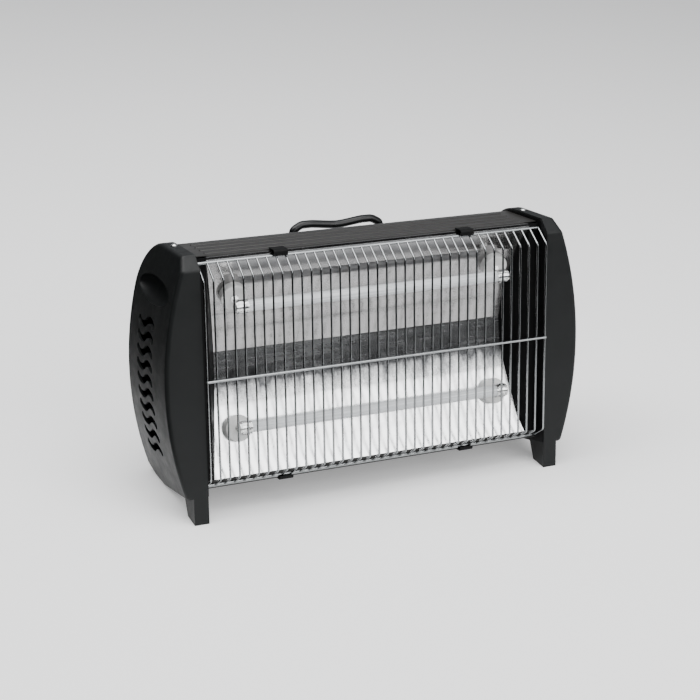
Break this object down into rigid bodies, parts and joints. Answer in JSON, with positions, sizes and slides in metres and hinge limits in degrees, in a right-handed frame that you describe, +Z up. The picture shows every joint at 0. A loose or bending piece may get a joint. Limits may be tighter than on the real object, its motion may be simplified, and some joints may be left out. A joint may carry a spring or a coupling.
{
  "type": "quartz radiant heater",
  "caption": "Free-standing radiant room heater: horizontal quartz tubes in a polished reflector behind a wire guard, between black moulded end caps, with a rear carry handle.",
  "frame": {"origin": "centre of the heater's footprint on the floor, at z = 0", "axes": "+X to the heater's right along its length, as seen from the front; +Y to the back; +Z up; the guard faces -Y and leans back 7.5 degrees"},
  "size_m": [0.4344, 0.1472, 0.2529],
  "materials": {
    "moulded_black": "fine-grained black moulding",
    "black_steel": "satin black stoved paint",
    "polished_aluminium": "bright rolled aluminium",
    "plated_wire": "bright plated wire",
    "quartz": "milky fused quartz",
    "resistance_wire": "oxidised resistance wire",
    "plated_steel": "plated steel",
    "ceramic": "unglazed steatite",
    "switch_plastic": "gloss black",
    "rocker_plastic": "gloss black",
    "brass": "turned brass",
    "lead_sleeve": "glass-fibre sleeve"
  },
  "bodies": {
    "heater": {"cap_screws_left": "plated_steel", "cap_screws_right": "plated_steel", "carry_handle": "moulded_black", "cheek_left": "black_steel", "cheek_right": "black_steel", "cord_gland": "switch_plastic", "end_cap_left": "moulded_black", "end_cap_right": "moulded_black", "end_plate_left": "black_steel", "end_plate_right": "black_steel", "ferrule_lower_left": "plated_steel", "ferrule_lower_right": "plated_steel", "ferrule_upper_left": "plated_steel", "ferrule_upper_right": "plated_steel", "gland_nut": "switch_plastic", "guard_clips": "black_steel", "handle_screws": "plated_steel", "heating_coil_lower": "resistance_wire", "heating_coil_upper": "resistance_wire", "insulator_lower_left": "ceramic", "insulator_lower_right": "ceramic", "insulator_upper_left": "ceramic", "insulator_upper_right": "ceramic", "lead_left": "lead_sleeve", "lead_right_lower": "lead_sleeve", "lead_right_upper": "lead_sleeve", "quartz_tube_lower": "quartz", "quartz_tube_upper": "quartz", "rear_cover": "black_steel", "reflector_lower": "polished_aluminium", "reflector_upper": "polished_aluminium", "switch_body_lower": "switch_plastic", "switch_body_upper": "switch_plastic", "terminal_block": "ceramic", "terminal_screws": "brass", "thermal_cutout": "plated_steel", "tip_switch_bracket": "switch_plastic", "top_cover": "black_steel", "tube_clip_lower_left": "plated_steel", "tube_clip_lower_right": "plated_steel", "tube_clip_upper_left": "plated_steel", "tube_clip_upper_right": "plated_steel", "wire_guard": "plated_wire"},
    "upper_rocker": {"rocker_upper": "rocker_plastic"},
    "lower_rocker": {"rocker_lower": "rocker_plastic"},
    "pendulum": {"tip_pendulum": "brass"}
  },
  "joints": [
    {"name": "upper_switch", "type": "hinge", "parent": "heater", "child": "upper_rocker", "pos_m": [0.2118, 0.01005, 0.12943], "axis": [0, 0.1305, 0.9914], "range_deg": [-14, 0]},
    {"name": "lower_switch", "type": "hinge", "parent": "heater", "child": "lower_rocker", "pos_m": [0.2118, 0.00652, 0.10266], "axis": [0, 0.1305, 0.9914], "range_deg": [-14, 0]},
    {"name": "tip_over_swing", "type": "hinge", "parent": "heater", "child": "pendulum", "pos_m": [0.189, -0.00314, 0.07519], "axis": [1, 0, 0], "range_deg": [-28, 28]}
  ]
}
